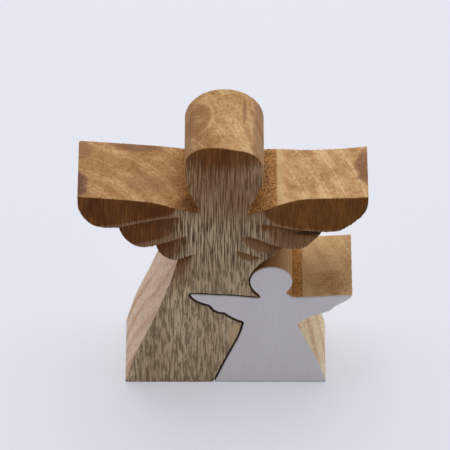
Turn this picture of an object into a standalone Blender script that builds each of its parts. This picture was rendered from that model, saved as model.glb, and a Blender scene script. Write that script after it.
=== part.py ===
"""Carved wooden guardian angel: a large angel with a small angel sawn out of the right of its skirt.

Metres, +Z up, the front faces -Y and the board's thickness runs along Y. Both angels are cut from
one 40 mm board. The small one slides out to the front or the back and has a painted front.
"""

import math

import bmesh
import bpy

MM = 0.001
BOARD = 40.0
FRONT = -BOARD / 2
BACK = BOARD / 2
KERF = 0.55
COAT = 0.5
COAT_GAP = 0.3
COAT_INSET = 0.2
HEAD_CENTRE = (0.5, 130.0)
HEAD_RADIUS = 17.6
SMALL_HEAD_CENTRE = (21.6, 65.5)
SMALL_HEAD_RADIUS = 9.55
CUTTER_NOSE = 3.0
RUN_OUT = 0.2
CURVE_STEPS = 3
RELIEF_ROWS = 8
RELIEF_STEPS = 3


def smooth(points, steps=CURVE_STEPS):
    """Points along a smooth curve that passes through the given ones."""
    numbers = range(len(points[0]))
    first = [2 * points[0][k] - points[1][k] for k in numbers]
    last = [2 * points[-1][k] - points[-2][k] for k in numbers]
    padded = [first, *points, last]
    found = []
    for i in range(1, len(padded) - 2):
        a, b, c, d = padded[i - 1 : i + 3]
        for step in range(steps):
            t = step / steps
            spot = []
            for k in numbers:
                bend = (2 * a[k] - 5 * b[k] + 4 * c[k] - d[k]) * t * t
                twist = (3 * b[k] - a[k] - 3 * c[k] + d[k]) * t**3
                spot.append(0.5 * (2 * b[k] + (c[k] - a[k]) * t + bend + twist))
            found.append(tuple(spot))
    found.append(tuple(points[-1]))
    return found


def arc(centre, radius, start, end, steps):
    """Points along a circular arc, with the angles in degrees."""
    found = []
    for step in range(steps + 1):
        angle = math.radians(start + (end - start) * step / steps)
        x = centre[0] + radius * math.cos(angle)
        z = centre[1] + radius * math.sin(angle)
        found.append((x, z))
    return found


def joined(*spans):
    """One list of points from spans that end where the next begins."""
    found = []
    for span in spans:
        for point in span:
            if not found or math.dist(found[-1], point) > 0.05:
                found.append(point)
    return found


def offset(points, distance):
    """An open line moved to its right by the distance, with mitred corners."""
    found = []
    for i, point in enumerate(points):
        before = points[max(i - 1, 0)]
        after = points[min(i + 1, len(points) - 1)]
        normals = []
        for start, end in ((before, point), (point, after)):
            length = math.dist(start, end)
            if length > 0:
                normals.append(((end[1] - start[1]) / length, (start[0] - end[0]) / length))
        x = sum(normal[0] for normal in normals) / len(normals)
        z = sum(normal[1] for normal in normals) / len(normals)
        square = max(x * x + z * z, 0.45)
        found.append((point[0] + distance * x / square, point[1] + distance * z / square))
    return found


def material(name, colour, roughness):
    made = bpy.data.materials.new(name)
    made.use_nodes = True
    shader = made.node_tree.nodes["Principled BSDF"]
    shader.inputs["Base Color"].default_value = (*colour, 1.0)
    shader.inputs["Roughness"].default_value = roughness
    return made


def finished(name, shape, surface):
    """An object from a bmesh held in millimetres, which this frees."""
    bmesh.ops.scale(shape, verts=shape.verts, vec=(MM, MM, MM))
    mesh = bpy.data.meshes.new(name)
    shape.to_mesh(mesh)
    shape.free()
    mesh.materials.append(surface)
    made = bpy.data.objects.new(name, mesh)
    bpy.context.collection.objects.link(made)
    return made


def board(name, outline, front, back, surface):
    """A board with this outline in X and Z, running from front to back along Y."""
    shape = bmesh.new()
    corners = [shape.verts.new((x, front, z)) for x, z in outline]
    face = shape.faces.new(corners)
    pulled = bmesh.ops.extrude_face_region(shape, geom=[face])
    moved = [item for item in pulled["geom"] if isinstance(item, bmesh.types.BMVert)]
    bmesh.ops.translate(shape, verts=moved, vec=(0, back - front, 0))
    bmesh.ops.recalc_face_normals(shape, faces=shape.faces)
    return finished(name, shape, surface)


def relief_cutter(name, columns, cove, surface):
    """A closed wedge that carves the front face.

    Each column is (upper x, upper z, lower x, lower z, depth). Its floor starts at that depth under
    the upper point and coves out through the front face just before the lower point.
    """
    shape = bmesh.new()
    floor = []
    nose = []
    for upper_x, upper_z, lower_x, lower_z, depth in smooth(columns, RELIEF_STEPS):
        floor_line = []
        nose_line = []
        for row in range(RELIEF_ROWS + 1):
            t = row / RELIEF_ROWS
            x = upper_x + (lower_x - upper_x) * t
            z = upper_z + (lower_z - upper_z) * t
            sunk = (depth + RUN_OUT) * (1 - t) ** cove - RUN_OUT
            floor_line.append(shape.verts.new((x, FRONT + sunk, z)))
            nose_line.append(shape.verts.new((x, FRONT - CUTTER_NOSE, z)))
        floor.append(floor_line)
        nose.append(nose_line)
    for sheet in (floor, nose):
        for left, right in zip(sheet, sheet[1:]):
            for row in range(RELIEF_ROWS):
                shape.faces.new((left[row], left[row + 1], right[row + 1], right[row]))
    for row in range(RELIEF_ROWS):
        for end in (0, -1):
            near = floor[end]
            far = nose[end]
            shape.faces.new((near[row], near[row + 1], far[row + 1], far[row]))
    for i in range(len(floor) - 1):
        for row in (0, -1):
            shape.faces.new((floor[i][row], floor[i + 1][row], nose[i + 1][row], nose[i][row]))
    bmesh.ops.recalc_face_normals(shape, faces=shape.faces)
    made = finished(name, shape, surface)
    made.hide_render = True
    made.display_type = "WIRE"
    return made


def carve(target, cutter):
    cut = target.modifiers.new(cutter.name, "BOOLEAN")
    cut.operation = "DIFFERENCE"
    cut.solver = "EXACT"
    cut.object = cutter


for old in list(bpy.data.objects):
    bpy.data.objects.remove(old)

oiled_wood = material("oiled_hardwood", (0.42, 0.26, 0.13), 0.6)
small_wood = material("small_angel_hardwood", (0.55, 0.37, 0.2), 0.6)
white_paint = material("white_paint", (0.85, 0.84, 0.86), 0.45)

# The saw line between the angels, on the large angel's side: up the small one's skirt, along the
# three feathers of its left wing, round the wing tip and back along the wing's top to the neck.
saw_skirt = smooth([(-4.6, 0), (1.8, 17.6), (7.0, 31.2), (8.8, 39.3)], 4)
saw_feathers = joined(
    smooth([(8.8, 39.3), (5.8, 40.9), (3.2, 42.6), (0.4, 45.2)]),
    smooth([(0.4, 45.2), (-2.3, 45.6), (-4.7, 47.4), (-6.4, 50.1)]),
    smooth([(-6.4, 50.1), (-10.4, 51.8), (-13.6, 54.2), (-15.2, 56.4)]),
)
saw_tip = smooth([(-15.2, 56.4), (-15.4, 57.6), (-14.0, 58.4)])
saw_wing_top = smooth([(-14.0, 58.4), (-6.4, 57.8), (4.0, 57.1), (16.4, 55.7)])
saw_line = joined(saw_skirt, saw_feathers, saw_tip, saw_wing_top)

# The large angel's outline, anticlockwise from the front, starting at the left of its base.
bay = smooth(
    [(16.4, 55.7), (12.9, 60.6), (11.55, 66.0), (12.9, 71.2), (16.3, 76.6), (20.9, 80.8)], 4
)
right_feathers = joined(
    smooth([(20.9, 80.8), (24.6, 83.2), (28.1, 86.6)]),
    smooth([(28.1, 86.6), (31.6, 86.5), (35.2, 86.8), (39.0, 89.4), (42.8, 93.2), (45.2, 97.1)]),
    smooth([(45.2, 97.1), (51.4, 97.7), (57.4, 100.4), (62.2, 104.2), (64.25, 107.9), (64.6, 112.4)]),
)
right_wing_top = smooth([(64.6, 112.4), (52.0, 110.7), (36.0, 110.1), (20.0, 110.7), (11.9, 107.8)])
right_neck = smooth([(11.9, 107.8), (10.9, 109.6), (12.4, 114.4), (15.8, 121.0)])
head = arc(HEAD_CENTRE, HEAD_RADIUS, -18, 198, 30)
left_neck = smooth([(-15.0, 121.0), (-11.9, 114.4), (-10.6, 110.6), (-11.6, 109.1)])
left_wing_top = smooth([(-11.6, 109.1), (-21.0, 111.5), (-42.0, 113.8), (-64.6, 115.8)])
left_feathers = joined(
    smooth([(-64.6, 115.8), (-64.3, 109.6), (-61.6, 104.4), (-57.6, 101.0), (-52.6, 99.7)]),
    [(-46.8, 99.8)],
    smooth([(-46.8, 99.8), (-46.0, 95.8), (-43.4, 91.6), (-39.4, 88.5), (-35.0, 87.5), (-30.4, 88.5)]),
    smooth([(-30.4, 88.5), (-29.4, 84.6), (-26.6, 81.4), (-23.0, 79.7), (-20.0, 79.1)]),
)
left_skirt = smooth([(-20.0, 79.1), (-24.6, 62.6), (-32.0, 39.9), (-40.0, 18.6), (-45.0, 0)], 4)
large_outline = joined(
    saw_line,
    bay,
    right_feathers,
    right_wing_top,
    right_neck,
    head,
    left_neck,
    left_wing_top,
    left_feathers,
    left_skirt,
)

# The small angel's outline: the far side of the saw line, then its head, right wing and skirt.
small_saw_line = offset(saw_line, KERF)
small_saw_line[0] = (small_saw_line[0][0], 0.0)
small_left = [*small_saw_line, (17.1, 55.7)]
small_head = arc(SMALL_HEAD_CENTRE, SMALL_HEAD_RADIUS, 228, -48, 26)
small_right = joined(
    smooth([(29.2, 57.3), (32.1, 55.6), (43.6, 56.1), (58.6, 57.1)]),
    smooth([(58.6, 57.1), (56.2, 53.8), (50.3, 49.6)]),
    smooth([(50.3, 49.6), (48.2, 46.8), (42.8, 44.4)]),
    smooth([(42.8, 44.4), (38.4, 42.6), (33.6, 37.7)]),
    smooth([(33.6, 37.7), (38.6, 25.1), (43.6, 13.0), (47.2, 0)], 4),
)
small_outline = joined(small_left, small_head, small_right)
small_outline.reverse()

large_angel = board("large_angel", list(reversed(large_outline)), FRONT, BACK, oiled_wood)
small_front = FRONT + COAT + COAT_GAP
small_angel = board("small_angel", small_outline, small_front, BACK, small_wood)

# The coat keeps just inside the wood's edge all the way round, so the fitted faces stay bare.
closed = [small_outline[-1], *small_outline, small_outline[0]]
inset_line = offset(closed, -COAT_INSET)[1:-1]
small_angel_paint = board("small_angel_paint", inset_line, FRONT, FRONT + COAT, white_paint)
small_angel_paint.parent = small_angel

# Carving on the large angel's front: the head's brow, then each wing's feathers from the top down.
brow = []
brow_depths = [
    (-42, -0.2),
    (-20, 2.0),
    (5, 4.2),
    (27, 4.6),
    (50, 3.2),
    (75, 1.1),
    (100, 2.4),
    (129, 5.6),
    (150, 7.8),
    (171, 8.8),
    (190, 6.0),
    (207, 2.6),
    (224, -0.2),
]
for angle, depth in brow_depths:
    outer = arc(HEAD_CENTRE, HEAD_RADIUS + 1.0, angle, angle, 1)[0]
    inner = arc(HEAD_CENTRE, HEAD_RADIUS * 0.3, angle, angle, 1)[0]
    brow.append((*outer, *inner, depth))
carve(large_angel, relief_cutter("brow_cutter", brow, 1.5, oiled_wood))

left_long_feather = [
    (-66.0, 117.0, -66.0, 98.4, 3.9),
    (-56.0, 116.2, -56.0, 98.8, 3.9),
    (-46.0, 115.3, -46.6, 100.4, 3.9),
    (-38.0, 114.5, -37.9, 103.0, 3.8),
    (-31.0, 113.8, -29.5, 105.2, 3.5),
    (-25.0, 113.2, -24.0, 106.2, 1.9),
    (-20.0, 112.5, -19.0, 107.2, 0.2),
    (-16.5, 111.5, -16.0, 108.0, -0.2),
]
left_middle_feather = [
    (-47.4, 99.7, -48.0, 85.6, 3.2),
    (-43.0, 100.8, -40.0, 86.6, 3.2),
    (-38.0, 102.5, -34.5, 87.9, 3.2),
    (-33.6, 103.7, -30.4, 89.1, 3.0),
    (-29.3, 104.8, -26.9, 90.4, 2.5),
    (-25.0, 105.6, -23.0, 91.8, 1.7),
    (-19.5, 106.5, -18.0, 94.2, 0.7),
    (-15.0, 107.7, -13.5, 96.2, -0.2),
]
left_short_feather = [
    (-31.2, 88.3, -32.5, 77.6, 3.0),
    (-28.5, 89.4, -26.5, 78.2, 3.0),
    (-25.0, 90.6, -21.5, 79.9, 2.8),
    (-21.5, 92.2, -18.5, 81.0, 2.3),
    (-18.0, 93.8, -15.3, 82.5, 1.5),
    (-14.5, 95.2, -12.0, 83.7, 0.6),
    (-10.0, 97.0, -7.0, 85.4, -0.2),
]
left_waist = [
    (-21.2, 79.4, -28.0, 63.0, 2.6),
    (-18.6, 80.4, -22.0, 62.0, 2.6),
    (-16.4, 81.4, -17.0, 62.0, 2.4),
    (-14.0, 82.5, -13.0, 63.0, 1.8),
    (-11.0, 83.4, -9.0, 66.0, 0.9),
    (-7.5, 83.9, -5.0, 72.0, -0.2),
]
right_long_feather = [
    (66.4, 113.8, 67.0, 96.0, 7.3),
    (58.0, 112.9, 58.6, 96.4, 8.3),
    (51.4, 111.9, 51.4, 98.0, 9.0),
    (43.0, 111.4, 43.6, 97.9, 9.2),
    (34.5, 111.4, 35.0, 98.8, 8.8),
    (27.4, 112.0, 28.4, 99.9, 5.8),
    (22.0, 111.9, 22.4, 101.6, 2.5),
    (17.5, 111.0, 17.4, 102.4, 0.4),
    (13.6, 109.8, 13.6, 103.4, -0.2),
]
right_middle_feather = [
    (46.0, 97.0, 48.5, 84.6, 3.2),
    (41.6, 97.4, 40.6, 85.4, 3.2),
    (37.0, 97.9, 35.2, 86.6, 3.1),
    (33.0, 98.5, 31.4, 87.1, 2.9),
    (28.0, 99.4, 27.0, 87.9, 2.3),
    (22.5, 101.0, 21.2, 89.7, 1.5),
    (17.5, 102.0, 15.4, 92.9, 0.7),
    (12.4, 102.8, 10.4, 95.4, -0.2),
]
right_short_feather = [
    (29.0, 86.6, 26.6, 79.4, 2.8),
    (23.9, 88.0, 21.6, 81.4, 2.7),
    (19.2, 90.2, 17.9, 81.5, 2.5),
    (16.0, 92.0, 15.0, 82.2, 2.3),
    (12.3, 93.7, 12.0, 84.2, 2.0),
    (9.6, 94.1, 9.4, 88.4, 1.5),
    (8.2, 93.3, 8.2, 91.4, 0.9),
]
right_gouge = [
    (17.0, 80.9, 15.6, 79.8, 1.0),
    (14.4, 81.8, 13.0, 78.0, 1.6),
    (11.4, 83.1, 10.8, 77.3, 1.8),
    (8.4, 84.3, 8.3, 78.5, 1.7),
    (6.5, 85.2, 6.7, 80.8, 1.4),
    (5.6, 84.6, 5.6, 83.2, 0.8),
]
feathers = {
    "left_long_feather_cutter": (left_long_feather, 1.1),
    "left_middle_feather_cutter": (left_middle_feather, 1.3),
    "left_short_feather_cutter": (left_short_feather, 1.3),
    "left_waist_cutter": (left_waist, 1.6),
    "right_long_feather_cutter": (right_long_feather, 1.05),
    "right_middle_feather_cutter": (right_middle_feather, 1.3),
    "right_short_feather_cutter": (right_short_feather, 1.2),
    "right_gouge_cutter": (right_gouge, 1.0),
}
for cutter_name, (columns, cove) in feathers.items():
    carve(large_angel, relief_cutter(cutter_name, columns, cove, oiled_wood))
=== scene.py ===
import math
import types

import bpy
from mathutils import Matrix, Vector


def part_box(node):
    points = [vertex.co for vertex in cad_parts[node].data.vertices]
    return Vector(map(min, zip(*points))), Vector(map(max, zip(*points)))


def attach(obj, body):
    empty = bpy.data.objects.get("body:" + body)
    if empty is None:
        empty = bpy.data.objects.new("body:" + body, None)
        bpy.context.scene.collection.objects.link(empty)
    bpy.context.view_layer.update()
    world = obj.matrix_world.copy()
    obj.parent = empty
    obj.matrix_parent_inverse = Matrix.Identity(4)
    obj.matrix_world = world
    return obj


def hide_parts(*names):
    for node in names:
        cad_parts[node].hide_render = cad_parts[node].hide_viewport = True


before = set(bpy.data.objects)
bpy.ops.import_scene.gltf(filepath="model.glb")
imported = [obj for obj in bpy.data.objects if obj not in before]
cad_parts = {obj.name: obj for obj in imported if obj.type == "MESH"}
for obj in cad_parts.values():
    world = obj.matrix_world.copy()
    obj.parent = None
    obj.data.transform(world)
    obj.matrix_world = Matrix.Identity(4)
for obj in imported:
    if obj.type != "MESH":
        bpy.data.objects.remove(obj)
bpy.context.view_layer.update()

# The large angel: one 40 mm hardwood board, sawn to its outline with the grain upright, then carved
# on the front into feathers and a sloping brow, sanded and oiled. The sanding rounds every edge.
bpy.ops.object.select_all(action="DESELECT")


def sawn_copy(name, node):
    """A merged copy of a sawn blank, left as the active object."""
    wood = bpy.data.objects.new(name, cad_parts[node].data.copy())
    bpy.context.scene.collection.objects.link(wood)
    bpy.context.view_layer.objects.active = wood
    wood.select_set(True)
    bpy.ops.object.mode_set(mode="EDIT")
    bpy.ops.mesh.select_all(action="SELECT")
    bpy.ops.mesh.remove_doubles(threshold=0.000001)
    bpy.ops.object.mode_set(mode="OBJECT")
    return wood


def sanded(wood, grit, strokes, kept):
    """Rounds the edges of the active blank, then thins its faces.

    It is laid askew meanwhile, so that the fine skin leaves no long steps along the edges.
    """
    askew = Matrix.Rotation(math.radians(31), 4, (1.0, 0.6, 0.3))
    wood.data.transform(askew)
    skin = wood.modifiers.new("fine_skin", "REMESH")
    skin.mode = "VOXEL"
    skin.voxel_size = grit
    sanding = wood.modifiers.new("sanding", "SMOOTH")
    sanding.factor = 0.5
    sanding.iterations = strokes
    thinning = wood.modifiers.new("thinning", "DECIMATE")
    thinning.ratio = kept
    for step_name in ("fine_skin", "sanding", "thinning"):
        bpy.ops.object.modifier_apply(modifier=step_name)
    wood.data.transform(askew.inverted())
    bpy.ops.object.shade_smooth()
    wood.select_set(False)


large_wood = sawn_copy("large_angel_wood", "large_angel")
sanded(large_wood, grit=0.00045, strokes=9, kept=0.38)


def step(tree, kind, inputs, **settings):
    """One node of a finish, its inputs given as numbers, colours or other nodes' outputs."""
    made = tree.nodes.new(kind)
    for name, value in settings.items():
        setattr(made, name, value)
    for name, value in inputs.items():
        if isinstance(value, bpy.types.NodeSocket):
            tree.links.new(value, made.inputs[name])
        else:
            made.inputs[name].default_value = value
    return made


def tone(red, green, blue):
    """A colour from its screen values, 0 to 255."""
    linear = []
    for value in (red, green, blue):
        part = value / 255
        linear.append(part / 12.92 if part <= 0.04045 else ((part + 0.055) / 1.055) ** 2.4)
    return (*linear, 1.0)


def sums(tree, operation, first, second):
    """The result of one Math node."""
    return step(tree, "ShaderNodeMath", {0: first, 1: second}, operation=operation).outputs[0]


def product(tree, first, *others):
    """Masks or numbers multiplied together."""
    for other in others:
        first = sums(tree, "MULTIPLY", first, other)
    return first


def ease(tree, value, low, high):
    """0 below low, 1 above high and smooth between them."""
    inputs = {"Value": value, "From Min": low, "From Max": high}
    made = step(tree, "ShaderNodeMapRange", inputs, interpolation_type="SMOOTHSTEP")
    return made.outputs["Result"]


def between(tree, value, rise, full, fall, gone):
    """1 from full to fall, and 0 outside rise and gone."""
    return product(tree, ease(tree, value, rise, full), ease(tree, value, gone, fall))


def mixed(tree, amount, first, second, blend_type="MIX"):
    """The first colour turned into the second, or multiplied by it, by the amount."""
    made = tree.nodes.new("ShaderNodeMix")
    made.data_type = "RGBA"
    made.blend_type = blend_type
    for socket, value in ((0, amount), (6, first), (7, second)):
        if isinstance(value, bpy.types.NodeSocket):
            tree.links.new(value, made.inputs[socket])
        else:
            made.inputs[socket].default_value = value
    return made.outputs[2]


def grain(tree, place, stretch, scale, detail, offset=(0, 0, 0)):
    """Noise whose grains are stretched along one axis, about 1 / scale millimetres across."""
    moved = step(tree, "ShaderNodeMapping", {"Vector": place, "Location": offset, "Scale": stretch})
    inputs = {
        "Vector": moved.outputs[0],
        "Scale": scale,
        "Detail": detail,
        "Roughness": 0.6,
    }
    return step(tree, "ShaderNodeTexNoise", inputs).outputs["Fac"]


def growth_rings(tree, place, spacing, wander, wander_scale):
    """Rings round the tree's pith, which lay to the left of the board and in front of it."""
    centred = step(
        tree,
        "ShaderNodeMapping",
        {"Vector": place, "Location": (77, 45, 0), "Scale": (1, 1, 0.04)},
    )
    inputs = {
        "Vector": centred.outputs[0],
        "Scale": math.pi / (10 * spacing),
        "Distortion": wander,
        "Detail": 3.0,
        "Detail Scale": wander_scale,
        "Detail Roughness": 0.6,
    }
    rings = step(tree, "ShaderNodeTexWave", inputs, wave_type="RINGS", rings_direction="Z")
    return rings.outputs["Fac"]


def hardwood(name, crown):
    """Oiled hardwood with upright grain, measured in millimetres.

    Above the crown's heights a rounded top counts as end grain. The result holds the finish's
    fields, and the colours of its end grain and its long grain.
    """
    made = bpy.data.materials.new(name)
    made.use_nodes = True
    tree = made.node_tree
    wood = types.SimpleNamespace(material=made, tree=tree, shader=tree.nodes["Principled BSDF"])
    wood.shader.inputs["Specular IOR Level"].default_value = 0.22
    where = step(tree, "ShaderNodeTexCoord", {})
    metres = where.outputs["Object"]
    place = step(tree, "ShaderNodeMapping", {"Vector": metres, "Scale": (1000, 1000, 1000)})
    wood.place = place.outputs[0]
    at = step(tree, "ShaderNodeSeparateXYZ", {"Vector": wood.place})
    wood.x, wood.y, wood.z = at.outputs["X"], at.outputs["Y"], at.outputs["Z"]
    facing = step(tree, "ShaderNodeSeparateXYZ", {"Vector": where.outputs["Normal"]})
    wood.facing_y = facing.outputs["Y"]
    rise = product(tree, ease(tree, wood.z, *crown), 0.45)
    wood.up = ease(tree, sums(tree, "ADD", facing.outputs["Z"], rise), 0.4, 0.7)
    wood.frontward = ease(tree, product(tree, facing.outputs["Y"], -1.0), 0.35, 0.6)
    wood.backward = ease(tree, facing.outputs["Y"], 0.35, 0.6)
    wood.under = ease(tree, product(tree, facing.outputs["Z"], -1.0), 0.2, 0.7)

    # Growth rings, cloudy colour and pores run through the whole board.
    wood.rings = growth_rings(tree, wood.place, 8.7, 3.2, 0.06)
    wood.fine_rings = growth_rings(tree, wood.place, 1.3, 5.0, 0.12)
    wood.clouds = grain(tree, wood.place, (1, 1, 0.4), 0.045, 3)
    wood.patches = grain(tree, wood.place, (1, 1, 0.5), 0.11, 4, (31, 17, 5))
    wood.flecks = grain(tree, wood.place, (1, 1, 0.2), 0.5, 4, (5, 41, 13))
    wood.specks = grain(tree, wood.place, (1, 1, 0.12), 1.5, 2)
    wood.hairs = grain(tree, wood.place, (1, 1, 0.04), 2.4, 2, (3, 19, 2))
    wood.coarse = ease(tree, grain(tree, wood.place, (1, 1, 0.3), 1.1, 4, (2, 5, 9)), 0.42, 0.64)
    wood.dots = ease(tree, wood.specks, 0.54, 0.7)
    cloudy = ease(tree, wood.clouds, 0.35, 0.6)
    broken = ease(tree, wood.flecks, 0.68, 0.4)
    ring_dark = product(tree, ease(tree, wood.rings, 0.5, 0.1), cloudy)
    ring_pale = product(tree, ease(tree, wood.rings, 0.95, 0.995), broken)

    # End grain on the tops: golden tan and paler to the right, with thin pale rings and open pores.
    paler_right = ease(tree, wood.x, -15.0, 12.0)
    golden = mixed(tree, paler_right, tone(178, 134, 82), tone(205, 163, 111))
    pale = mixed(tree, paler_right, tone(204, 163, 111), tone(226, 189, 138))
    tops = mixed(tree, ease(tree, wood.clouds, 0.35, 0.65), golden, pale)
    tops = mixed(tree, product(tree, ring_dark, 0.6), tops, tone(214, 192, 176), "MULTIPLY")
    blotches = product(tree, ease(tree, wood.patches, 0.45, 0.75), 0.6)
    tops = mixed(tree, blotches, tops, tone(206, 178, 158), "MULTIPLY")
    pale_amount = sums(tree, "ADD", 0.25, product(tree, ease(tree, wood.x, 20.0, 34.0), 0.4))
    tops = mixed(tree, product(tree, ring_pale, pale_amount), tops, tone(232, 202, 156))
    fine = ease(tree, wood.fine_rings, 0.6, 0.05)
    fine = product(tree, fine, ease(tree, wood.flecks, 0.3, 0.7), 0.5)
    tops = mixed(tree, fine, tops, tone(214, 190, 168), "MULTIPLY")
    mottle = product(tree, ease(tree, wood.flecks, 0.45, 0.7), 0.5)
    tops = mixed(tree, mottle, tops, tone(210, 184, 160), "MULTIPLY")
    wood.tops = mixed(tree, product(tree, wood.dots, 0.6), tops, tone(168, 132, 96), "MULTIPLY")

    # Long grain on the sides: pale, pinkish on the left and straw on the right, browner behind.
    rightward = ease(tree, wood.x, -10.0, 30.0)
    sides = mixed(tree, rightward, tone(232, 202, 176), tone(250, 230, 188))
    # From the waist up the sides are painted browner: painted shade where they pass under the
    # wings.
    shoulders = product(tree, ease(tree, wood.z, 72.0, 84.0), 0.8)
    sides = mixed(tree, shoulders, sides, tone(196, 152, 106))
    sides = mixed(tree, product(tree, ring_pale, 0.3), sides, tone(236, 212, 182))
    sides = mixed(tree, product(tree, wood.backward, 0.55), sides, tone(182, 140, 98))
    figure = ease(tree, wood.rings, 0.6, 0.0)
    figure = product(tree, figure, ease(tree, wood.clouds, 0.3, 0.6), 0.7)
    sides = mixed(tree, figure, sides, tone(220, 190, 164), "MULTIPLY")
    threads = grain(tree, wood.place, (1, 1, 0.02), 0.8, 4, (6, 1, 2))
    threads = product(tree, ease(tree, threads, 0.42, 0.68), 0.6)
    sides = mixed(tree, threads, sides, tone(216, 188, 160), "MULTIPLY")
    long_pores = product(tree, ease(tree, wood.hairs, 0.53, 0.66), 0.6)
    sides = mixed(tree, long_pores, sides, tone(168, 128, 98), "MULTIPLY")
    # Faces turned downward are painted darker brown: painted shade under the overhangs and
    # feathers.
    wood.sides = mixed(tree, product(tree, wood.under, 0.6), sides, tone(150, 106, 66))
    wood.groove = product(tree, ease(tree, wood.hairs, 0.52, 0.7), 0.35)
    return wood


def rough_sawn(wood, area):
    """End grain that the sander could not reach: orange, torn and speckled."""
    wood.rough = product(wood.tree, area, wood.up)
    torn = mixed(wood.tree, wood.coarse, tone(198, 141, 77), tone(116, 72, 32))
    wood.tops = mixed(wood.tree, product(wood.tree, wood.rough, 0.9), wood.tops, torn)


def spot(wood, centre, half_sizes, raggedness):
    """How far out a place is in an oval: 0 at its centre and 1 on its edge, which wanders."""
    scale = tuple(1 / half for half in half_sizes)
    shift = tuple(-middle / half for middle, half in zip(centre, half_sizes))
    inputs = {"Vector": wood.place, "Location": shift, "Scale": scale}
    oval = step(wood.tree, "ShaderNodeMapping", inputs).outputs[0]
    reach = step(wood.tree, "ShaderNodeVectorMath", {0: oval}, operation="LENGTH").outputs["Value"]
    wander = product(wood.tree, sums(wood.tree, "SUBTRACT", wood.patches, 0.5), raggedness)
    return sums(wood.tree, "ADD", reach, wander)


def scorched(wood, area, colour):
    """Paints an area of the sides dark brown, painted shade for the narrow gap between the pieces,
    with the blade's marks running from front to back.
    """
    tree = wood.tree
    marks = grain(tree, wood.place, (1, 0.02, 1), 1.3, 3, (8, 2, 4))
    kerf_dark = mixed(tree, ease(tree, marks, 0.38, 0.62), tone(96, 60, 35), tone(50, 30, 18))
    patchiness = product(tree, ease(tree, wood.patches, 0.45, 0.7), 0.5)
    kerf_dark = mixed(tree, patchiness, kerf_dark, tone(124, 82, 48))
    not_flat = sums(tree, "SUBTRACT", 1.0, sums(tree, "MAXIMUM", wood.backward, wood.frontward))
    wood.scorch = product(tree, area, not_flat, ease(tree, wood.z, 0.1, 0.6))
    cuts = product(tree, wood.scorch, ease(tree, marks, 0.4, 0.6))
    wood.groove = sums(tree, "MAXIMUM", wood.groove, cuts)
    return mixed(tree, product(tree, wood.scorch, 0.93), colour, kerf_dark)


def footed(wood, colour):
    """Sawn end grain on the flat foot that the piece stands on."""
    foot_face = product(wood.tree, wood.under, ease(wood.tree, wood.z, 0.8, 0.2))
    return mixed(wood.tree, foot_face, colour, wood.tops)


def finished(wood, colour, piece):
    """Ties a wood's colour and pores to its shader, and puts it on the piece."""
    tree = wood.tree
    tree.links.new(colour, wood.shader.inputs["Base Color"])
    dullness = step(
        tree,
        "ShaderNodeMapRange",
        {"Value": wood.groove, "From Min": 0.0, "From Max": 1.0, "To Min": 0.55, "To Max": 0.8},
    )
    tree.links.new(dullness.outputs["Result"], wood.shader.inputs["Roughness"])
    relief = sums(tree, "ADD", wood.groove, product(tree, wood.dots, 0.4))
    relief = sums(tree, "ADD", relief, product(tree, wood.coarse, wood.rough, 1.6))
    bump_inputs = {"Height": relief, "Strength": 0.6, "Distance": 0.0003}
    bump = step(tree, "ShaderNodeBump", bump_inputs, invert=True)
    tree.links.new(bump.outputs["Normal"], wood.shader.inputs["Normal"])
    piece.data.materials.clear()
    piece.data.materials.append(wood.material)


large = hardwood("large_angel_hardwood", crown=(112.0, 120.0))
tree = large.tree

# Rough end grain beside the neck: it fades out along the left wing and stops short on the right.
beside_neck = between(tree, large.x, -27.0, -13.0, 23.3, 24.3)
rough_sawn(large, product(tree, beside_neck, between(tree, large.z, 103.0, 105.0, 113.5, 116.0)))
corner = ease(tree, spot(large, (-14, -19, 109), (8, 9, 30), 1.0), 1.2, 0.6)
large.tops = mixed(tree, product(tree, corner, 0.6), large.tops, tone(170, 136, 100), "MULTIPLY")
bright_band = product(tree, between(tree, large.x, 23.9, 24.4, 25.5, 29.0), large.up, 0.4)
large.tops = mixed(tree, bright_band, large.tops, tone(226, 194, 146))

# Stains in the tops, and painted shade on the two rounded sides of the head at x ±18: centre, half
# sizes, colour and strength.
stains_and_head_shade = [
    ((-65.2, -9, 113), (4.6, 9.5, 30), tone(98, 58, 48), 0.9),
    ((-62.5, 14, 114), (3.4, 5.0, 30), tone(128, 88, 62), 0.45),
    ((-39, 18, 112), (11, 3.2, 30), tone(112, 74, 52), 0.6),
    ((-34, -5, 112), (7, 5.5, 30), tone(140, 98, 66), 0.35),
    ((63.5, 7, 111), (4.2, 11, 30), tone(118, 72, 44), 0.8),
    ((18.5, 3, 138), (5.5, 30, 14), tone(140, 92, 42), 0.7),
    ((-18.0, 2, 136), (4.5, 30, 13), tone(150, 100, 44), 0.45),
    ((9.6, 9, 147), (1.1, 8, 14), tone(122, 78, 36), 0.6),
]
for centre, size, tint, strength in stains_and_head_shade:
    area = ease(tree, spot(large, centre, size, 2.2), 1.3, 0.8)
    area = product(tree, area, ease(tree, large.flecks, 0.85, 0.45), strength)
    large.tops = mixed(tree, area, large.tops, tint)

# A ring of brown figure on the crown of the head, with a pale rim on its right.
figure_reach = spot(large, (-11.5, 4, 144), (6.2, 9.0, 14), 0.7)
crown_figure = product(tree, between(tree, figure_reach, -0.4, 0.7, 0.8, 1.1), 0.55)
large.tops = mixed(tree, crown_figure, large.tops, tone(140, 94, 50))
crown_rim = between(tree, figure_reach, 1.0, 1.12, 1.14, 1.35)
crown_rim = product(tree, crown_rim, ease(tree, large.x, -12.0, -7.0), 0.3)
large.tops = mixed(tree, crown_rim, large.tops, tone(226, 192, 146))

# The walls of the saw's narrow cut are painted dark: painted shade in the gap between the two
# pieces.
cut = between(tree, large.x, -19.0, -17.0, 14.0, 21.0)
cut = product(tree, cut, ease(tree, large.z, 84.0, 80.0))
colour = mixed(tree, large.up, large.sides, large.tops)
colour = footed(large, scorched(large, cut, colour))

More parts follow.
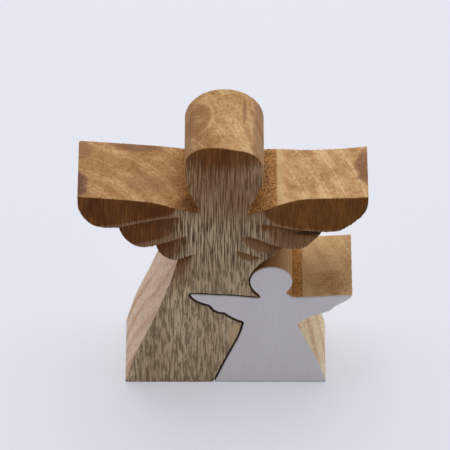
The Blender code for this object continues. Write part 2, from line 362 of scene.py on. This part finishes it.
# The brushed front: pale and dry between dark open pores, which run longer above the waist.
long_streaks = grain(tree, large.place, (1, 0.15, 0.03), 1.9, 3, (7, 3, 11))
short_streaks = grain(tree, large.place, (1, 0.15, 0.1), 1.7, 4, (4, 8, 6))
waist = ease(tree, large.z, 62.0, 86.0)
streaks = step(tree, "ShaderNodeMix", {0: waist, 2: short_streaks, 3: long_streaks}).outputs[0]
pores = ease(tree, streaks, 0.46, 0.57)
bare = ease(tree, spot(large, (5.6, -20, 31.5), (4.6, 30, 7.5), 1.5), 1.2, 0.7)
depth = sums(tree, "ADD", large.y, 20.0)
on_right = ease(tree, large.x, 2.0, 5.0)
gouged = product(tree, on_right, ease(tree, large.z, 96.0, 92.0), ease(tree, depth, 0.15, 0.5))
smoothed = sums(tree, "MAXIMUM", product(tree, bare, 0.7), product(tree, gouged, 0.5))
pores = product(tree, pores, sums(tree, "SUBTRACT", 1.0, smoothed))
taupe = mixed(tree, ease(tree, large.clouds, 0.3, 0.7), tone(205, 176, 138), tone(231, 206, 168))
hair_pores = product(tree, ease(tree, large.hairs, 0.48, 0.62), 0.5)
taupe = mixed(tree, hair_pores, taupe, tone(138, 108, 80))
pore_darkness = sums(tree, "ADD", 0.62, product(tree, waist, 0.32))
taupe = mixed(tree, product(tree, pores, pore_darkness), taupe, tone(86, 62, 42))
taupe = mixed(tree, product(tree, bare, 0.5), taupe, tone(206, 170, 126))

# A thin brown film of oil is left on the face, the neck, the wings and under the left wing.
on_head = product(tree, ease(tree, large.z, 96.0, 116.0), 0.62)
breadth = sums(tree, "ABSOLUTE", large.x, 0.0)
on_wings = product(tree, ease(tree, breadth, 14.0, 26.0), ease(tree, large.z, 80.0, 86.0), 0.7)
under_wing = product(
    tree,
    ease(tree, spot(large, (-21, -20, 73), (8.5, 30, 10), 1.2), 1.3, 0.6),
    0.35,
)
film = sums(tree, "MAXIMUM", on_head, sums(tree, "MAXIMUM", on_wings, under_wing))
film = sums(tree, "MAXIMUM", film, product(tree, gouged, 0.6))
taupe = mixed(tree, film, taupe, tone(136, 88, 40))

# Carved hollows and the brow keep the dark oil, less of it where the cuts are shallow.
leftward = ease(tree, product(tree, large.x, -1.0), 9.0, 24.0)
rightward = ease(tree, large.x, 12.0, 27.0)
outer = product(tree, sums(tree, "MAXIMUM", leftward, rightward), 1.7)
inner_right = product(tree, on_right, sums(tree, "SUBTRACT", 1.0, rightward), 1.3)
full_depth = sums(tree, "SUBTRACT", sums(tree, "SUBTRACT", 2.0, outer), inner_right)
torn_edge = product(tree, sums(tree, "SUBTRACT", streaks, 0.5), 1.6)
hollow = sums(tree, "ADD", sums(tree, "DIVIDE", depth, full_depth), torn_edge)
hollow = ease(tree, hollow, 0.2, 1.1)
hollow = product(tree, hollow, ease(tree, large.z, 119.0, 116.0))
low_right = product(tree, on_right, ease(tree, large.z, 100.0, 96.5), 0.55)
inner_left = between(tree, large.x, -33.0, -17.0, -2.0, 0.0)
inner_left = product(tree, inner_left, ease(tree, large.z, 106.0, 102.0), 0.5)
low_left = product(tree, ease(tree, large.x, 0.0, -3.0), ease(tree, large.z, 81.0, 79.0), 0.6)
spared = sums(tree, "MAXIMUM", low_right, sums(tree, "MAXIMUM", inner_left, low_left))
spared = product(tree, spared, ease(tree, depth, 2.0, 0.9))
hollow = product(tree, hollow, sums(tree, "SUBTRACT", 1.0, spared))
ragged = product(tree, streaks, 9.0)
brow = ease(tree, sums(tree, "ADD", large.z, ragged), 136.5, 144.5)
dark = sums(tree, "MAXIMUM", hollow, brow)
oil = mixed(tree, ease(tree, large.patches, 0.35, 0.65), tone(112, 60, 12), tone(138, 80, 20))
oil = mixed(tree, product(tree, on_right, 0.4), oil, tone(146, 98, 46))
oil = mixed(tree, product(tree, pores, 0.4), oil, tone(66, 36, 14))
front = mixed(tree, dark, taupe, oil)

# Dark lines, painted shade: a painted shadow deep in the cut under the right wing, painted shade
# along the saw's cut where the two pieces meet, and a painted shadow along the foot.
lip_slit_shadow = ease(tree, spot(large, (39.5, -17, 95.0), (9.0, 30, 1.4), 0.3), 1.15, 0.5)
front = mixed(tree, product(tree, lip_slit_shadow, 0.85), front, tone(52, 30, 14))
edge_turn = ease(tree, large.facing_y, -0.99, -0.9)
kerf_dark = product(tree, edge_turn, cut, ease(tree, large.z, 62.0, 60.0), 0.9)
front = mixed(tree, kerf_dark, front, tone(60, 38, 24))
foot_shadow = product(tree, ease(tree, large.z, 1.6, 0.4), 0.6)
front = mixed(tree, foot_shadow, front, tone(84, 58, 38))
colour = mixed(tree, large.frontward, colour, front)
lip_shade = product(tree, large.under, ease(tree, large.y, -15.0, -18.5))
colour = mixed(tree, lip_shade, colour, tone(84, 50, 22))
front_pores = product(tree, pores, large.frontward)
large.groove = sums(tree, "MAXIMUM", large.groove, front_pores)
finished(large, colour, large_wood)
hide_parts("large_angel")
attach(large_wood, "large")

# The small angel: the piece sawn out of the same board, fitting the skirt with the width of the saw
# cut to spare. It is sanded rounder than the large one, and its sides are bare oiled wood.
small_wood = sawn_copy("small_angel_wood", "small_angel")
coat_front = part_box("small_angel_paint")[0][1]
blank_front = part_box("small_angel")[0][1]
for vertex in small_wood.data.vertices:
    vertex.select = vertex.co.y < blank_front + 0.0001
bpy.ops.object.mode_set(mode="EDIT")
bpy.ops.mesh.select_mode(type="VERT")
bpy.ops.transform.translate(value=(0, coat_front - blank_front, 0))
bpy.ops.object.mode_set(mode="OBJECT")
sanded(small_wood, grit=0.0004, strokes=13, kept=0.5)

small = hardwood("small_angel_hardwood", crown=(52.0, 56.0))
tree = small.tree
# Its tops are painted paler all over: painted light, lifting them out of the shade of the large
# angel's wing.
small.tops = mixed(tree, 0.42, small.tops, tone(232, 193, 139))

# Against the head the wing's top is brown, then comes a rough orange strip with torn grain.
strip = between(tree, small.x, 31.2, 31.8, 35.2, 35.8)
rough_sawn(small, product(tree, strip, between(tree, small.z, 50.0, 52.0, 60.0, 62.0)))
orange_strip = mixed(tree, 0.18, small.tops, tone(255, 176, 64))
small.tops = mixed(tree, small.rough, small.tops, orange_strip)
strip_edges = sums(
    tree,
    "MAXIMUM",
    between(tree, small.x, 31.0, 31.3, 31.5, 31.9),
    between(tree, small.x, 35.1, 35.5, 35.7, 36.0),
)
strip_edges = product(tree, strip_edges, ease(tree, small.flecks, 0.7, 0.35), 0.7)
small.tops = mixed(tree, strip_edges, small.tops, tone(104, 64, 28))
by_head = product(tree, ease(tree, small.x, 31.8, 31.2), ease(tree, small.x, 8.0, 12.0), 0.5)
small.tops = mixed(tree, by_head, small.tops, tone(174, 118, 46))

# Stains in the wing's top: centre, half sizes, colour and strength.
small_stains = [
    ((49, -11, 57), (7, 7, 12), tone(156, 92, 26), 0.65),
    ((57.5, 6, 57), (3, 16, 12), tone(132, 92, 62), 0.45),
    ((54, 4, 57), (10, 26, 12), tone(172, 126, 78), 0.3),
]
for centre, size, tint, strength in small_stains:
    area = ease(tree, spot(small, centre, size, 2.2), 1.3, 0.6)
    area = product(tree, area, ease(tree, small.coarse, -0.6, 1.0), strength)
    small.tops = mixed(tree, area, small.tops, tint)

# Its left side is the other wall of the saw's cut, painted as dark: painted shade in the gap
# between the pieces.
cut = product(tree, ease(tree, small.x, 18.0, 11.0), ease(tree, small.z, 66.0, 60.0))
colour = mixed(tree, small.up, small.sides, small.tops)
colour = footed(small, scorched(small, cut, colour))
finished(small, colour, small_wood)

# Its front is cut off square, as deep as the paint goes, and made again as a piece of its own.
paint_depth = 0.0006
whole_shape = small_wood.data.copy()


def sliced(piece, keep_front):
    """Cuts a piece square through at the back of the paint and keeps one side of the cut."""
    bpy.context.view_layer.objects.active = piece
    piece.select_set(True)
    bpy.ops.object.mode_set(mode="EDIT")
    bpy.ops.mesh.select_all(action="SELECT")
    bpy.ops.mesh.bisect(
        plane_co=(0, coat_front + paint_depth, 0),
        plane_no=(0, 1, 0),
        use_fill=True,
        clear_inner=not keep_front,
        clear_outer=keep_front,
    )
    bpy.ops.mesh.select_all(action="SELECT")
    bpy.ops.mesh.normals_make_consistent(inside=False)
    bpy.ops.object.mode_set(mode="OBJECT")
    bpy.ops.object.shade_smooth_by_angle(angle=math.radians(50))
    piece.select_set(False)


sliced(small_wood, keep_front=False)
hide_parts("small_angel")
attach(small_wood, "small")

# The small angel's front: two thin coats of white satin paint, brushed on up and down and sanded
# back at the rim, where it stops short of the bare sides.
white_front = bpy.data.objects.new("small_angel_white_front", whole_shape)
bpy.context.scene.collection.objects.link(white_front)
sliced(white_front, keep_front=True)

paint = bpy.data.materials.new("white_satin_paint")
paint.use_nodes = True
tree = paint.node_tree
coat = tree.nodes["Principled BSDF"]
coat.inputs["Specular IOR Level"].default_value = 0.35
metres = step(tree, "ShaderNodeTexCoord", {}).outputs["Object"]
place = step(tree, "ShaderNodeMapping", {"Vector": metres, "Scale": (1000, 1000, 1000)}).outputs[0]
at = step(tree, "ShaderNodeSeparateXYZ", {"Vector": place})
cloudy = grain(tree, place, (1, 1, 0.6), 0.05, 3, (12, 4, 8))
brushed = grain(tree, place, (1, 1, 0.05), 1.6, 3, (9, 2, 5))
wood_pores = ease(tree, grain(tree, place, (1, 1, 0.05), 1.1, 3, (7, 3, 11)), 0.56, 0.66)
peel = grain(tree, place, (1, 1, 1), 0.8, 2, (1, 6, 3))
dust = ease(tree, grain(tree, place, (1, 1, 1), 0.7, 2, (3, 3, 9)), 0.72, 0.76)

# Brush marks, a few open pores and specks of dust show in the white, which turns tan towards its
# rim.
white = mixed(tree, ease(tree, cloudy, 0.3, 0.7), tone(227, 221, 224), tone(232, 227, 229))
brush_marks = product(tree, ease(tree, brushed, 0.5, 0.75), 0.18)
white = mixed(tree, brush_marks, white, tone(216, 211, 214))
white = mixed(tree, product(tree, wood_pores, 0.09), white, tone(186, 176, 172))
white = mixed(tree, product(tree, dust, 0.4), white, tone(170, 160, 152))
rim = ease(tree, sums(tree, "ADD", at.outputs["Y"], product(tree, peel, 0.3)), -19.6, -19.25)
white = mixed(tree, product(tree, rim, 0.4), white, tone(196, 174, 148))

# Painted shadow along the foot, where the piece meets the floor.
paint_foot_shadow = product(tree, ease(tree, at.outputs["Z"], 1.5, 0.3), 0.7)
white = mixed(tree, paint_foot_shadow, white, tone(138, 132, 134))
tree.links.new(white, coat.inputs["Base Color"])
gloss = step(
    tree,
    "ShaderNodeMapRange",
    {"Value": peel, "From Min": 0.3, "From Max": 0.7, "To Min": 0.36, "To Max": 0.5},
)
tree.links.new(gloss.outputs["Result"], coat.inputs["Roughness"])
surface = sums(tree, "ADD", product(tree, peel, 0.6), product(tree, brushed, 0.5))
surface = sums(tree, "SUBTRACT", surface, product(tree, wood_pores, 0.5))
bump_inputs = {"Height": surface, "Strength": 0.35, "Distance": 0.0001}
bump = step(tree, "ShaderNodeBump", bump_inputs)
tree.links.new(bump.outputs["Normal"], coat.inputs["Normal"])
white_front.data.materials.clear()
white_front.data.materials.append(paint)
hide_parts("small_angel_paint")
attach(white_front, "small")

# The studio: a plain pale card for a floor, one square soft light above and a little behind, and
# a dim surround that is brighter at the back.
bpy.ops.mesh.primitive_plane_add(size=4.0, location=(0, 0, 0))
floor = bpy.context.object
floor.name = "floor"
card = bpy.data.materials.new("pale_card")
card.use_nodes = True
card_shader = card.node_tree.nodes["Principled BSDF"]
card_shader.inputs["Base Color"].default_value = tone(176, 178, 186)
card_shader.inputs["Roughness"].default_value = 0.9
card_shader.inputs["Emission Color"].default_value = tone(230, 232, 242)
card_shader.inputs["Emission Strength"].default_value = 0.46
floor.data.materials.append(card)

world = bpy.data.worlds.new("studio")
bpy.context.scene.world = world
world.use_nodes = True
surround = world.node_tree
direction = step(surround, "ShaderNodeTexCoord", {}).outputs["Generated"]
toward_back = step(surround, "ShaderNodeSeparateXYZ", {"Vector": direction}).outputs["Y"]
walls = ease(surround, toward_back, -0.75, 0.1)
wall_light = step(
    surround,
    "ShaderNodeMapRange",
    {"Value": walls, "From Min": 0.0, "From Max": 1.0, "To Min": 0.14, "To Max": 0.66},
)
surround.nodes["Background"].inputs["Color"].default_value = (1.0, 1.0, 1.0, 1.0)
surround.links.new(wall_light.outputs["Result"], surround.nodes["Background"].inputs["Strength"])


def softbox(name, location, size, power):
    """A square soft light aimed at the middle of the figure."""
    light = bpy.data.lights.new(name, "AREA")
    light.size = size
    light.energy = power
    lamp = bpy.data.objects.new(name, light)
    bpy.context.scene.collection.objects.link(lamp)
    lamp.location = location
    reach = math.hypot(location[0], location[1])
    tilt = math.atan2(reach, location[2] - 0.06)
    turn = math.atan2(location[0], -location[1])
    lamp.rotation_euler = (tilt, 0, turn)


softbox("softbox_overhead", (0.0, 0.4, 1.35), 1.1, 10.0)

# A long lens from the front, looking 45 degrees down.
camera_lens = bpy.data.cameras.new("camera")
camera_lens.lens = 400
camera_lens.sensor_width = 36
camera = bpy.data.objects.new("camera", camera_lens)
bpy.context.scene.collection.objects.link(camera)
camera.location = (0.00084, -1.58989, 1.67188)
camera.rotation_euler = (math.radians(45), 0, 0)
bpy.context.scene.camera = camera
bpy.context.scene.view_settings.view_transform = "Standard"
